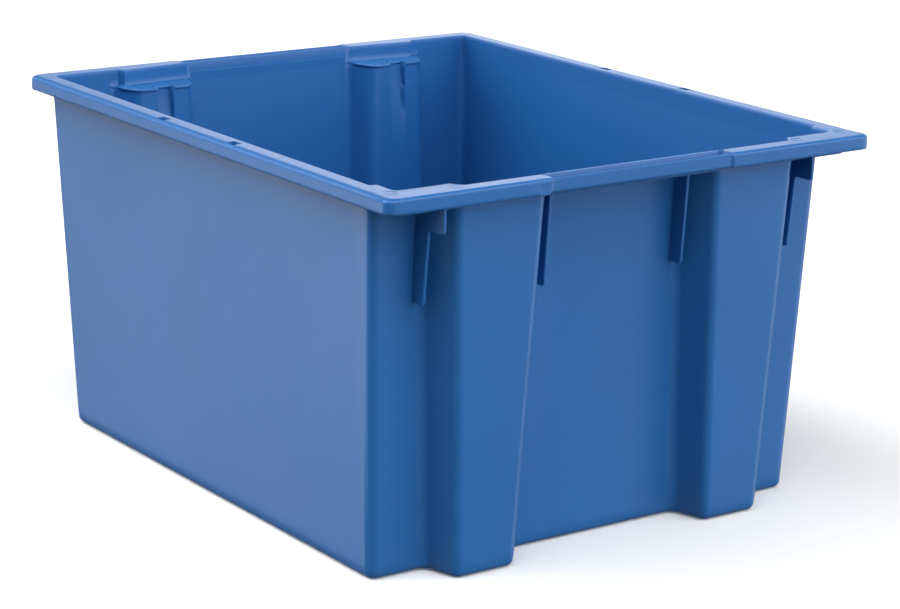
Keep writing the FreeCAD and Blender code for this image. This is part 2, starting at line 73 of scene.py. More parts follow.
HALF_WIDTH = cad_box[1].x / MM
HALF_LENGTH = cad_box[1].y / MM
HEIGHT = cad_box[1].z / MM
SIDE = box_mm("left_side_wall")[0].x * -1
FLOOR = box_mm("left_side_wall")[0].z
LEDGE_UNDER = box_mm("left_side_wall")[1].z
LEDGE_TOP = box_mm("front_centre_ledge")[1].z
END = box_mm("front_left_column")[0].y * -1
RECESS = box_mm("front_centre_panel")[0].y * -1
LEDGE_NOSE = box_mm("rear_left_ledge")[0].y
CHANNEL_HALF = box_mm("front_rim_channel")[1].x
COLUMN_LOW, COLUMN_HIGH = box_mm("front_right_column")
CENTRE = (COLUMN_LOW.x + COLUMN_HIGH.x) / 2

# ---------------------------------------------------------------- sizes of the moulding

WALL = 3.0
SLANT_WALL = 3.3
ROOT_MITRE = 1.5
LEDGE_LIP = 1.5
FLANGE = 3.0
SKIRT = 2.5
SKIRT_BOTTOM = HEIGHT - 13.0
PILASTER = LEDGE_NOSE + LEDGE_LIP + WALL

SIDE_DRAFT = 11.7
RECESS_DRAFT = 13.0
COLUMN_DRAFT = 11.7
REAR_DRAFT = 14.6
PILASTER_DRAFT = 13.0

GROUND_RADIUS = 7.0
INNER_FLOOR_ROUND = 4.0
FLAT_STRIP = 0.3
BODY_CORNER = 8.5
RIM_CORNER = 10.0
COLUMN_ROUND = 7.5
COLUMN_ROOT_ROUND = 9.0
PILASTER_ROUND = 8.0

END_EDGE_WIDTH = 3.2
END_EDGE_DROP = 2.6
SIDE_EDGE_WIDTH = 5.5
SIDE_PAD = 1.0
SIDE_PAD_TOP = SKIRT_BOTTOM + 9.3
SHOULDER = 0.35

FLANGE_TOP = HEIGHT - 0.2
CHANNEL_SKIRT_TOP = FLANGE_TOP - 0.7
TROUGH_FLOOR = HEIGHT - 9.0
TROUGH_UNDER = TROUGH_FLOOR - 2.0
SCOOP = 9.0

NOTCH_HALF = 8.5
NOTCH_DEPTH = 8.0
NOTCH_HEIGHT = 75.0

SLOT_MIDDLE = 58.5
SLOT_HALF = 6.5
SLOT_ROUND = 0.8

# half widths of a column's and a pilaster's face and root, at the floor and at the ledge
COLUMN_FACE = (29.0, 41.5)
COLUMN_ROOT = (38.5, 57.5)
PILASTER_FACE = (33.0, 24.0)
PILASTER_ROOT = (44.0, 37.0)

# the rim: its width, its overhang, and how much further in or out it runs in places
RIM_WIDTH = 18.0
OVERHANG = 15.0
WIDE_END = 8.5
WIDE_REAR_END = 7.0
WIDE_SIDE = 6.0
NARROW_END = 1.4
CREASE = HEIGHT - 9.5
CREASE_LEAN = 0.6

# the skirt where a channel crosses it, and the raked flat beside the channel's left end
CHANNEL_RECESS = 1.3
CHANNEL_LIFT = 0.7
WEDGE_START = 109.0
WEDGE_LEAN = 6.0
WEDGE_DEPTH = 0.45
WITNESS_PLACES = (-47.0, 126.0, 267.0)
WITNESS_DEPTH = 0.18

# the bow of the cooled walls, and the flat beside each front corner: where it starts and
# where it meets the corner's crease, at the floor and at the ledge
SIDE_BOW = 1.1
SIDE_BOW_REACH = 235.0
END_BOW = 0.5
FACET_START = (232.5, 227.5)
FACET_CREASE = (232.0, 242.0)
FACET_DEPTH = 0.55
CREASE_DEPTH = 0.7

RIB_BITE = 1.2
RIB_REACH = 17.5
RIB_FOOT_REACH = 15.0
RIB_HEAD_REACH = 38.5
RIB_HEAD_HEIGHT = 33.0
RIB_ROUND = 3.0
RIB_BEVEL = 0.75

EJECTOR_MARKS = [(-230.0, -276.0), (230.0, -276.0), (-173.6, -283.0), (175.0, -283.0)]

RIM_TAIL_X = 196.0
RIM_TAIL_Y = 240.0


def smooth(low, high, value):
    """0 below low, 1 above high, with an eased passage between."""
    t = np.clip((np.asarray(value, float) - low) / (high - low), 0, 1)
    return t * t * (3 - 2 * t)


def window(low, high, ease, value):
    """1 between low and high, easing to 0 over the distance ease outside them."""
    return smooth(low - ease, low, value) * (1 - smooth(high, high + ease, value))


def mix(a, b, weight):
    weight = np.asarray(weight, float)
    if np.ndim(a) > 1 and weight.ndim == 1:
        weight = weight[:, None]
    return np.asarray(a) * (1 - weight) + np.asarray(b) * weight


# ---------------------------------------------------------------- plan of a quarter

def steps(length, fine, coarse, zone):
    """Fractions along a straight run, fine within the zone at each end and coarse between."""
    places = [0.0]
    while places[-1] < length:
        near = min(places[-1], length - places[-1])
        places.append(places[-1] + (fine if near < zone else coarse))
    return np.array(places[:-1]) / length


class Quarter:
    """A quarter of the plan, from the middle of an end round the corner to the middle of a side.

    The runs between corners are sampled at the same fractions in every outline, so that
    outlines at different levels match station by station.
    """

    ARC_POINTS = 9

    def __init__(self, corners, spacing, wanted):
        self.fractions = []
        self.reference = corners
        pieces = self.runs(corners)
        for number, (start, end) in enumerate(pieces):
            length = float(np.linalg.norm(end - start))
            fine, coarse, zone = spacing[number]
            fractions = steps(length, fine, coarse, zone)
            if number in wanted:
                axis = 0 if number < len(pieces) - 1 else 1
                places = [(w - start[axis]) / (end - start)[axis] for w in wanted[number]]
                fractions = self.with_wanted(fractions, places, 0.06 / length)
            self.fractions.append(np.array(fractions))
        self.end_count = sum(len(f) for f in self.fractions[:-1])
        self.end_count += self.ARC_POINTS * (len(corners) - 3)
        self.arc_slice = slice(self.end_count, self.end_count + self.ARC_POINTS)
        plan = self.outline(corners)
        self.count = len(plan)
        self.end_x = plan[: self.end_count, 0]
        self.side_v = plan[self.end_count + self.ARC_POINTS :, 1]

    @staticmethod
    def with_wanted(fractions, wanted, gap):
        """Adds the stations that a feature needs and drops those too near them."""
        kept = [f for f in fractions if f == 0 or min(abs(f - w) for w in wanted) > gap]
        return sorted(set(kept) | set(wanted))

    @staticmethod
    def tangents(corners):
        """Where each rounded corner starts and ends, and its centre."""
        found = []
        for index in range(1, len(corners) - 1):
            point = np.array(corners[index][:2], float)
            back = np.array(corners[index - 1][:2], float) - point
            ahead = np.array(corners[index + 1][:2], float) - point
            back /= np.linalg.norm(back)
            ahead /= np.linalg.norm(ahead)
            radius = corners[index][2]
            half = math.acos(np.clip(back @ ahead, -1, 1)) / 2
            reach = radius / math.tan(half)
            inward = (back + ahead) / np.linalg.norm(back + ahead)
            centre = point + inward * radius / math.sin(half)
            found.append((point + back * reach, point + ahead * reach, centre, radius))
        return found

    def runs(self, corners):
        """The straight pieces, each from the end of one corner to the start of the next."""
        tangents = self.tangents(corners)
        starts = [np.array(corners[0][:2], float)] + [t[1] for t in tangents]
        ends = [t[0] for t in tangents] + [np.array(corners[-1][:2], float)]
        return list(zip(starts, ends))

    def outline(self, corners):
        """The outline with these corners, one point for each station."""
        tangents = self.tangents(corners)
        points = []
        for number, (start, end) in enumerate(self.runs(corners)):
            for fraction in self.fractions[number]:
                points.append(start + (end - start) * fraction)
            if number < len(tangents):
                first, last, centre, _ = tangents[number]
                low = math.atan2(*(first - centre)[::-1])
                high = math.atan2(*(last - centre)[::-1])
                turn = (high - low + math.pi) % (2 * math.pi) - math.pi
                radius = np.linalg.norm(first - centre)
                for step in range(self.ARC_POINTS):
                    angle = low + turn * step / self.ARC_POINTS
                    points.append(centre + radius * np.array([math.cos(angle), math.sin(angle)]))
        return np.array(points)

    def ring(self, half_x, half_y, radius):
        """A rounded rectangle, matched to the stations by their place along the rim."""
        x = self.stretch(self.end_x, RIM_TAIL_X, self.reference[-2][0] - BODY_CORNER, half_x - radius)
        start_v = self.reference[-2][1] - BODY_CORNER
        v = self.stretch(self.side_v, RIM_TAIL_Y, start_v, half_y - radius)
        angles = np.arange(self.ARC_POINTS) / self.ARC_POINTS * math.pi / 2
        arc_x = half_x - radius + radius * np.sin(angles)
        arc_v = half_y - radius + radius * np.cos(angles)
        end = np.stack([x, np.full_like(x, half_y)], 1)
        side = np.stack([np.full_like(v, half_x), v], 1)
        return np.concatenate([end, np.stack([arc_x, arc_v], 1), side])

    @staticmethod
    def stretch(values, tail, reference_end, wanted_end):
        """Keeps places up to the tail and spreads the rest out to the wanted end."""
        scale = (wanted_end - tail) / (reference_end - tail)
        return np.where(values <= tail, values, tail + (values - tail) * scale)


def front_corners(level, inside):
    """The front quarter's corners at the floor (level 0) or the ledge (level 1)."""
    side = SIDE - SIDE_DRAFT * (1 - level)
    recess = RECESS - RECESS_DRAFT * (1 - level)
    column = END - COLUMN_DRAFT * (1 - level)
    face = float(np.interp(level, (0, 1), COLUMN_FACE))
    root = float(np.interp(level, (0, 1), COLUMN_ROOT))
    corner, edge, hollow = BODY_CORNER, COLUMN_ROUND, COLUMN_ROOT_ROUND
    if inside:
        side, recess, column = side - WALL, recess - WALL, column - WALL
        face, root = face - SLANT_WALL, root - ROOT_MITRE
        corner, edge, hollow = corner - WALL, edge - WALL, hollow + WALL
    return [
        (0, recess),
        (CENTRE - root, recess, hollow),
        (CENTRE - face, column, edge),
        (CENTRE + face, column, edge),
        (CENTRE + root, recess, hollow),
        (side, recess, corner),
        (side, 0),
    ]


def rear_corners(level, inside):
    """The rear quarter's corners at the floor (level 0) or the ledge (level 1)."""
    side = SIDE - SIDE_DRAFT * (1 - level)
    rear = END - REAR_DRAFT * (1 - level)
    pilaster = PILASTER - PILASTER_DRAFT * (1 - level)
    face = float(np.interp(level, (0, 1), PILASTER_FACE))
    root = float(np.interp(level, (0, 1), PILASTER_ROOT))
    corner, edge, hollow = BODY_CORNER, PILASTER_ROUND + 2, PILASTER_ROUND
    if inside:
        side, rear, pilaster = side - WALL, rear - WALL, pilaster - WALL
        face, root = face + SLANT_WALL, root + ROOT_MITRE
        corner, edge, hollow = corner - WALL, edge - WALL, hollow + WALL
    return [
        (0, rear),
        (CENTRE - root, rear, edge),
        (CENTRE - face, pilaster, hollow),
        (CENTRE + face, pilaster, hollow),
        (CENTRE + root, rear, edge),
        (side, rear, corner),
        (side, 0),
    ]


SIDE_RUN = 5
PILASTER_FACE_RUN = 2
SLOT_STATIONS = [
    SLOT_MIDDLE + sign * offset
    for sign in (-1, 1)
    for offset in (SLOT_HALF, SLOT_HALF - 0.3, SLOT_HALF - SLOT_ROUND)
]
NOTCH_STATIONS = [
    CENTRE + sign * offset
    for sign in (-1, 1)
    for offset in (NOTCH_HALF, NOTCH_HALF - 0.4, NOTCH_HALF + 2.2, NOTCH_HALF + 2.7)
]
CORNER_STATIONS = [RECESS - BODY_CORNER - 0.12 * step for step in range(6, 30)]
FRONT_WANTED = {SIDE_RUN: SLOT_STATIONS + CORNER_STATIONS}
REAR_WANTED = {SIDE_RUN: SLOT_STATIONS, PILASTER_FACE_RUN: NOTCH_STATIONS}

FRONT_SPACING = [
    (2.0, 6.0, 6.0),
    (1.2, 2.4, 6.0),
    (0.8, 4.0, 12.0),
    (1.2, 2.4, 6.0),
    (1.5, 3.0, 8.0),
    (1.4, 7.0, 30.0),
]
REAR_SPACING = [
    (0.9, 6.0, 12.0),
    (1.2, 2.4, 6.0),
    (1.5, 2.5, 8.0),
    (1.2, 2.4, 6.0),
    (1.5, 4.0, 8.0),
    (1.0, 7.0, 20.0),
]

FRONT = Quarter(front_corners(1, False), FRONT_SPACING, FRONT_WANTED)
REAR = Quarter(rear_corners(1, False), REAR_SPACING, REAR_WANTED)


class Loop:
    """The whole perimeter: anticlockwise from the middle of the front end, seen from above."""

    def __init__(self, front, rear):
        self.front, self.rear = front, rear
        self.parts = [
            # quarter, sign of x, sign of y, and whether it runs backwards
            (front, 1, -1, False),
            (rear, 1, 1, True),
            (rear, -1, 1, False),
            (front, -1, -1, True),
        ]

    def place(self, front_plan, rear_plan):
        """Joins four quarters into one closed run of stations with signed coordinates."""
        whole = []
        for quarter, x_sign, y_sign, backward in self.parts:
            plan = front_plan if quarter is self.front else rear_plan
            plan = plan * np.array([x_sign, y_sign])
            whole.append(plan[:0:-1] if backward else plan)
        whole[1] = np.concatenate([self.middle(front_plan, 1), whole[1]])
        whole[3] = np.concatenate([self.middle(front_plan, -1), whole[3]])
        return np.concatenate(whole)

    @staticmethod
    def middle(plan, x_sign):
        """The station in the middle of a side."""
        return np.array([[plan[-1][0] * x_sign, 0.0]])


LOOP = Loop(FRONT, REAR)


def wall_plan(level, inside):
    """The walls' outline at the floor (level 0) or the ledge (level 1)."""
    front = FRONT.outline(front_corners(level, inside))
    rear = REAR.outline(rear_corners(level, inside))
    return LOOP.place(front, rear)


def ring(half_x, half_y, radius):
    """A rounded rectangle round the whole bin, station by station."""
    return LOOP.place(FRONT.ring(half_x, half_y, radius), REAR.ring(half_x, half_y, radius))


def normals_of(plan):
    """Outward unit normals of a closed anticlockwise plan."""
    along = np.roll(plan, -1, axis=0) - np.roll(plan, 1, axis=0)
    normal = np.stack([along[:, 1], -along[:, 0]], 1)
    length = np.linalg.norm(normal, axis=1, keepdims=True)
    return normal / np.maximum(length, 1e-9)


# ---------------------------------------------------------------- the shell, row by row

BASE_OUT, TOP_OUT = wall_plan(0, False), wall_plan(1, False)
BASE_IN, TOP_IN = wall_plan(0, True), wall_plan(1, True)
BAND_OUT = ring(SIDE, END, BODY_CORNER)
BAND_IN = ring(SIDE - WALL, END - WALL, BODY_CORNER - WALL)
STATIONS = len(TOP_OUT)


def side_mask():
    """Marks the stations on the two long sides, between the rounded corners."""
    marks = []
    for quarter, _, _, backward in LOOP.parts:
        flags = np.zeros(quarter.count, bool)
        flags[quarter.arc_slice.stop :] = True
        marks.append(flags[:0:-1] if backward else flags)
    marks[1] = np.concatenate([[True], marks[1]])
    marks[3] = np.concatenate([[True], marks[3]])
    return np.concatenate(marks)


ON_SIDE = side_mask()
OUTER_X, OUTER_Y = ring(HALF_WIDTH, HALF_LENGTH, RIM_CORNER).T
AT_FRONT = OUTER_Y < 0
AT_END = ~ON_SIDE & (np.abs(OUTER_Y) > HALF_LENGTH - 0.01)
ACROSS = np.abs(OUTER_X)
ALONG = np.abs(OUTER_Y)


def plan_at(z, inside):
    """The walls' outline at a height, before bow, facets and grooves."""
    base, top = (BASE_IN, TOP_IN) if inside else (BASE_OUT, TOP_OUT)
    return mix(base, top, (z - FLOOR) / (LEDGE_UNDER - FLOOR))


def bow(plan, z):
    """The slight inward bow of the long walls and the wide end panels of a cooled moulding."""
    rise = math.sin(math.pi * np.clip((z - FLOOR) / (LEDGE_UNDER - FLOOR), 0, 1)) ** 1.5
    x, y = plan.T
    middle = np.cos(np.clip(y / SIDE_BOW_REACH, -1, 1) * math.pi / 2) ** 2
    side = np.where(ON_SIDE, middle * SIDE_BOW, 0)
    end = np.where(AT_END, window(-45, 45, 30, x) * END_BOW, 0)
    shift = np.zeros_like(plan)
    shift[:, 0] = -np.sign(x) * side * rise
    shift[:, 1] = -np.sign(y) * end * rise
    return shift


def facet(plan, z, normal):
    """The narrow flat beside each front corner, where the long wall turns before its round."""
    share = (z - FLOOR) / (LEDGE_UNDER - FLOOR)
    start = mix(*FACET_START, share)
    crease = mix(*FACET_CREASE, share)
    corner = RECESS - RECESS_DRAFT * (1 - share)
    places = [start, crease, crease + 0.3, corner]
    depth = np.interp(-plan[:, 1], places, [0, FACET_DEPTH, CREASE_DEPTH, 0])
    near = (plan[:, 1] < 0) & (np.abs(plan[:, 0]) > SIDE - SIDE_DRAFT - BODY_CORNER)
    return -normal * np.where(near, depth, 0)[:, None]


def groove(plan, z, half, depth_at_top):
    """How far a pilaster's face steps out below its ledge notch."""
    taper = float(smooth(LEDGE_UNDER - NOTCH_HEIGHT, LEDGE_UNDER, z))
    beside = np.abs(np.abs(plan[:, 0]) - CENTRE)
    inside = (plan[:, 1] > 0) & (beside < half - 0.2)
    return np.where(inside, depth_at_top * taper, 0)


def outer_wall(z):
    """The outside of the walls at a height, and its normals."""
    plan = plan_at(z, False)
    normal = normals_of(plan)
    shifted = plan + bow(plan, z) + facet(plan, z, normal)
    shifted[:, 1] += groove(plan, z, NOTCH_HALF + 2.5, NOTCH_DEPTH - LEDGE_LIP)
    return shifted, normal


def inner_wall(z):
    """The inside of the walls at a height."""
    plan = plan_at(z, True)
    shifted = plan + bow(plan, z)
    shifted[:, 1] += groove(plan, z, NOTCH_HALF, NOTCH_DEPTH - LEDGE_LIP)
    return shifted


def row(plan, z):
    """A row of the skin: one point for each station, all at one height or one height each."""
    return np.column_stack([plan, np.broadcast_to(np.asarray(z, float), (STATIONS,))])


WALL_LEVELS = [12, 22, *range(40, 241, 25), 262, 276, 285, 289, 293, 298, 303, 307]


def outer_wall_rows():
    """From the ground up to the underside of the ledges."""
    rows = []
    plan = plan_at(FLOOR, False)
    normal = normals_of(plan)
    rows.append(row(plan - normal * (GROUND_RADIUS + FLAT_STRIP), 0))
    for angle in np.radians(np.linspace(0, 75, 6)):
        inward = GROUND_RADIUS * (1 - math.sin(angle))
        rows.append(row(plan - normal * inward, GROUND_RADIUS * (1 - math.cos(angle))))
    for z in WALL_LEVELS:
        rows.append(row(outer_wall(z)[0], z))
    return rows


def ledge_depth(band, wall):
    """How far the band stands outside the wall below it, at each station."""
    return np.where(ON_SIDE, 0, np.abs(band[:, 1] - wall[:, 1]))


def under_ledge_rows():
    """The small hollow round under a ledge, its flat underside and its outer edge."""
    rows = []
    room = ledge_depth(BAND_OUT, TOP_OUT)
    hollow = np.minimum(2.5, room * 0.4)
    plan, normal = outer_wall(LEDGE_UNDER)
    for angle in np.radians((0, 30, 60)):
        out = hollow * (1 - math.cos(angle))
        rows.append(row(plan + normal * out[:, None], LEDGE_UNDER - 2.5 * (1 - math.sin(angle))))
    start = plan + normal * hollow[:, None]
    start = np.where(ON_SIDE[:, None], BAND_OUT, start)
    rows.append(row(start, LEDGE_UNDER))
    edge = np.minimum(0.8, room * 0.3)
    band_normal = normals_of(BAND_OUT)
    flush = (room < 0.05)[:, None] & ~ON_SIDE[:, None]
    outer = BAND_OUT - band_normal * edge[:, None]
    rows.append(row(np.where(flush, start, outer), LEDGE_UNDER))
    outer = BAND_OUT - band_normal * edge[:, None] * 0.3
    rows.append(row(np.where(flush, start, outer), LEDGE_UNDER + edge * 0.3))
    rows.append(row(BAND_OUT, LEDGE_UNDER + np.maximum(edge, 0.5)))
    return rows


# ---------------------------------------------------------------- the rim, row by row

RIM_OUTER = ring(HALF_WIDTH, HALF_LENGTH, RIM_CORNER)
INNER_X, INNER_Y = HALF_WIDTH - RIM_WIDTH, HALF_LENGTH - RIM_WIDTH
RIM_INNER = ring(INNER_X, INNER_Y, RIM_CORNER - 4.0)
WIDE_CORNER = ring(INNER_X - WIDE_SIDE, INNER_Y - WIDE_END, RIM_CORNER / 2)
WIDE_REAR = ring(INNER_X, INNER_Y - WIDE_REAR_END, RIM_CORNER / 2)
SIDE_SHARE = np.abs(normals_of(RIM_OUTER)[:, 0])

IN_CHANNEL = AT_END & (ACROSS < CHANNEL_HALF)
SCOOP_PLACE = np.clip((ACROSS - (CHANNEL_HALF - SCOOP)) / SCOOP, 0, 1)
TROUGH = np.where(IN_CHANNEL, np.sqrt(1 - SCOOP_PLACE**2), 0)
PAD = np.where(ON_SIDE & (ALONG < HALF_LENGTH - RIM_CORNER + 0.2), 1.0, 0.0)
SLOT_OFF = np.where(ON_SIDE, np.abs(ALONG - SLOT_MIDDLE), 99.0)
SLOT_TURN = np.clip((SLOT_OFF - SLOT_HALF + SLOT_ROUND) / SLOT_ROUND, 0, 1)
SLOT_EASE = np.where(SLOT_OFF < SLOT_HALF + 0.01, SLOT_ROUND * (1 - np.sqrt(1 - SLOT_TURN**2)), 0)


def rim(inset):
    """The rim's outer rectangle moved inwards, by one distance or by one for each station."""
    return mix(RIM_OUTER, RIM_INNER, np.broadcast_to(inset, (STATIONS,)) / RIM_WIDTH)


def skirt_step(z):
    """1 where the skirt is set back in the channel, with a raked edge at its left end."""
    share = (HEIGHT - z) / (HEIGHT - SKIRT_BOTTOM)
    edge = np.where(OUTER_X * OUTER_Y > 0, CHANNEL_HALF - 2 + 3 * share, CHANNEL_HALF + 0.4)
    return np.where(AT_END, 1 - smooth(edge - 0.9, edge, ACROSS), 0)


def wedge(z):
    """The faint raked flat beside the left end of each channel."""
    share = (HEIGHT - z) / (HEIGHT - SKIRT_BOTTOM)
    start = WEDGE_START - WEDGE_LEAN * share
    left = AT_END & (OUTER_X * OUTER_Y > 0)
    return np.where(left, 1 - smooth(start - 1.0, start, ACROSS), 0) * WEDGE_DEPTH


def witness():
    """Hairline marks across the left side's skirt, where mould inserts met."""
    mark = sum(np.exp(-(((OUTER_Y - y) / 0.6) ** 2)) for y in WITNESS_PLACES)
    return np.where((OUTER_X < 0) & ON_SIDE, mark * WITNESS_DEPTH, 0)


def change(plain, channel, weight):
    """A height or inset that turns into another one where a channel crosses the rim."""
    return mix(np.asarray(plain, float), channel, weight)


SIDE_EDGE_ANGLES = (15, 30, 47, 63, 77, 90)
TOP_INSETS = (8.0, 9.0, 10.0, 11.0, 12.0)
CHANNEL_TOP = [
    # inset, and height from the skirt's top, of the rows down the inside of a channel's skirt
    (3.6, -0.25), (3.9, -0.9), (3.9, -5.0), (4.3, -7.3), (5.3, -8.1),
]


def edge_inset(degrees, width):
    """How far in the rounded outer edge of the rim is, at an angle round it."""
    return width * (1 - math.cos(math.radians(degrees)))


def slot_insets():
    """Insets on a side of the rows that cross a slot, from its outer to its inner edge."""
    edge = [SIDE_PAD + edge_inset(d, SIDE_EDGE_WIDTH) for d in SIDE_EDGE_ANGLES[3:]]
    return edge + list(TOP_INSETS)


def slot_shift(number, count):
    """Draws the first and the last row of a slot in at its rounded corners."""
    return SLOT_EASE * (1 if number == 0 else -1 if number == count - 1 else 0)


def under_flange_rows():
    """Out under the flange, or under the trough of a channel, as far as the skirt."""
    under = FLANGE_TOP - FLANGE
    rows = []
    for inset, drop in ((OVERHANG, 1.6), (OVERHANG - 0.4, 0.6), (OVERHANG - 1.6, 0.0)):
        rows.append(row(rim(inset), change(under - drop, TROUGH_UNDER - drop * 0.8, TROUGH)))
    insets = slot_insets()
    for number in reversed(range(len(insets))):
        inset = insets[number] + slot_shift(number, len(insets))
        channel_inset = max(insets[number], 5.6)
        rows.append(row(rim(change(inset, channel_inset, TROUGH)), change(under, TROUGH_UNDER, TROUGH)))
    return rows


def skirt_rows():
    """Down the inside of the skirt, round its lower edge and up its outer face."""
    rows = []
    under = FLANGE_TOP - FLANGE
    step = skirt_step(SKIRT_BOTTOM) * CHANNEL_RECESS
    lift = skirt_step(SKIRT_BOTTOM) * CHANNEL_LIFT
    inner = SKIRT + PAD * SIDE_PAD * 0.4 + step
    rows.append(row(rim(inner + 0.3), change(under - 0.2, TROUGH_UNDER - 0.1, TROUGH)))
    rows.append(row(rim(inner), change(under - 1.2, TROUGH_UNDER - 0.2, TROUGH)))
    rows.append(row(rim(inner), SKIRT_BOTTOM + 0.4 + lift))
    rows.append(row(rim(inner - 0.4), SKIRT_BOTTOM + lift))
    rows.append(row(rim(1.0 + step), SKIRT_BOTTOM + lift))
    rows.append(row(rim(0.35 + step), SKIRT_BOTTOM + 0.3 + lift))
    levels = [SKIRT_BOTTOM + 0.95, SKIRT_BOTTOM + 3, SKIRT_BOTTOM + 6, SIDE_PAD_TOP - 0.25, SIDE_PAD_TOP]
    for z in levels:
        set_back = np.maximum(skirt_step(z) * CHANNEL_RECESS, wedge(z)) + witness()
        rise = lift if z < SKIRT_BOTTOM + 2 else 0
        height = change(z + rise, min(z, CHANNEL_SKIRT_TOP - 1.6) + rise, skirt_step(z))
        rows.append(row(rim(set_back), height))
    return rows


def rim_top_rows():
    """Over the rounded outer edge, across the flange or the trough, to the inner edge."""
    rows = []
    cut = skirt_step(CHANNEL_SKIRT_TOP)
    step = np.maximum(cut * CHANNEL_RECESS, wedge(CHANNEL_SKIRT_TOP))
    edge_width = mix(END_EDGE_WIDTH, SIDE_EDGE_WIDTH, SIDE_SHARE)
    shoulder = mix(FLANGE_TOP - END_EDGE_DROP, SIDE_PAD_TOP + SHOULDER, SIDE_SHARE)
    rows.append(row(rim(PAD * SIDE_PAD + step), change(shoulder, CHANNEL_SKIRT_TOP - 1.0, cut)))
    insets = slot_insets()
    count = len(insets)
    for index, degrees in enumerate(SIDE_EDGE_ANGLES):
        angle = math.radians(degrees)
        height = FLANGE_TOP - (FLANGE_TOP - shoulder) * (1 - math.sin(angle))
        inset = PAD * SIDE_PAD + edge_inset(degrees, edge_width) + step * (1 - index / 5)
        if index >= 3:
            inset = inset + slot_shift(index - 3, count)
        channel_inset = CHANNEL_RECESS + 0.9 * (1 - math.cos(angle)) + index * 0.12
        channel_height = CHANNEL_SKIRT_TOP - 0.9 * (1 - math.sin(angle))
        rows.append(row(rim(change(inset, channel_inset, cut)), change(height, channel_height, cut)))
    for index, inset in enumerate(TOP_INSETS):
        channel_inset, channel_drop = CHANNEL_TOP[index]
        place = change(inset + slot_shift(index + 3, count), channel_inset, cut)
        weight = cut if index == 0 else np.minimum(cut, TROUGH)
        rows.append(row(rim(place), change(FLANGE_TOP, CHANNEL_SKIRT_TOP + channel_drop, weight)))
    for inset, channel_inset, channel_z in (
        (12.6, 13.2, TROUGH_FLOOR),
        (13.2, 14.4, TROUGH_FLOOR + 0.6),
        (13.8, 15.0, TROUGH_FLOOR + 2.0),
        (14.4, 15.0, FLANGE_TOP - 0.9),
        (15.0, 15.5, FLANGE_TOP - 0.15),
    ):
        rows.append(row(rim(change(inset, channel_inset, TROUGH)), change(FLANGE_TOP, channel_z, TROUGH)))
    return rows


def band_shift():
    """Where the band stands further in: round the front corners and towards each rear corner."""
    corner = np.where(AT_END, smooth(167, 174, ACROSS), 1.0)
    corner = np.where(ON_SIDE, smooth(248, 254, ALONG), corner)
    corner = np.where(AT_FRONT, corner, 0)
    ramp = np.clip((ACROSS - CHANNEL_HALF) / 65.0, 0, 1) * (1 - smooth(160.5, 164.5, ACROSS))
    rear = np.where(AT_END & ~AT_FRONT, ramp, 0)
    return (WIDE_CORNER - RIM_INNER) * corner[:, None] + (WIDE_REAR - RIM_INNER) * rear[:, None]


BAND_SHIFT = band_shift()
OVER_COLUMN = np.where(AT_FRONT & AT_END, window(90, 165, 2, ACROSS), 0)
CENTRAL = np.where(AT_END, 1 - smooth(CHANNEL_HALF - 4, CHANNEL_HALF, ACROSS), 0)


def inner_face(inset, share):
    """The inside of the band, leaning out towards its top in places, by a share of the full lean."""
    lean = np.maximum(OVER_COLUMN * NARROW_END, CENTRAL * CREASE_LEAN) * share
    return rim(inset - lean) + BAND_SHIFT


def inner_edge_rows():
    """The rounded inner edge of the rim and the inside of the band below it."""
    return [
        row(inner_face(RIM_WIDTH - 1.0, 1), FLANGE_TOP),
        row(inner_face(RIM_WIDTH - 0.5, 1), FLANGE_TOP - 0.15),
        row(inner_face(RIM_WIDTH - 0.15, 1), FLANGE_TOP - 0.5),
        row(inner_face(RIM_WIDTH, 1), FLANGE_TOP - 1.1),
        row(inner_face(RIM_WIDTH, 0.6), mix(FLANGE_TOP - 4.0, CREASE + 0.4, CENTRAL)),
        row(mix(inner_face(RIM_WIDTH, 0.3), BAND_IN + BAND_SHIFT, CENTRAL), CREASE),
    ]


# ---------------------------------------------------------------- ledges and the inside

